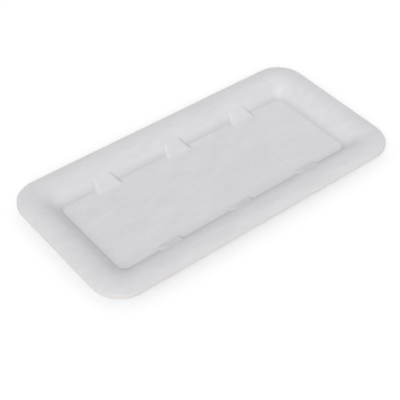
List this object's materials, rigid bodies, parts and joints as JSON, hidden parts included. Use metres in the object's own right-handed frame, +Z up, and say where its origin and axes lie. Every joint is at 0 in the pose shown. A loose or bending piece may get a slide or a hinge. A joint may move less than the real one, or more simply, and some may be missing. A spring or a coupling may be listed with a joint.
{
  "type": "foam meat tray",
  "caption": "Shallow rectangular foam tray with rounded corners, rolled rim and small lugs on its long walls, for raw meat and other fresh food.",
  "frame": {"origin": "middle of the underside of the floor, on the surface that the tray rests on", "axes": "+X along the long side, +Y along the short side, +Z up out of the open side"},
  "size_m": [0.27, 0.133, 0.015],
  "materials": {
    "foam": "white expanded polystyrene with a smooth satin skin and an open-celled cut edge"
  },
  "bodies": {
    "root": {"tray": "foam"}
  },
  "joints": []
}
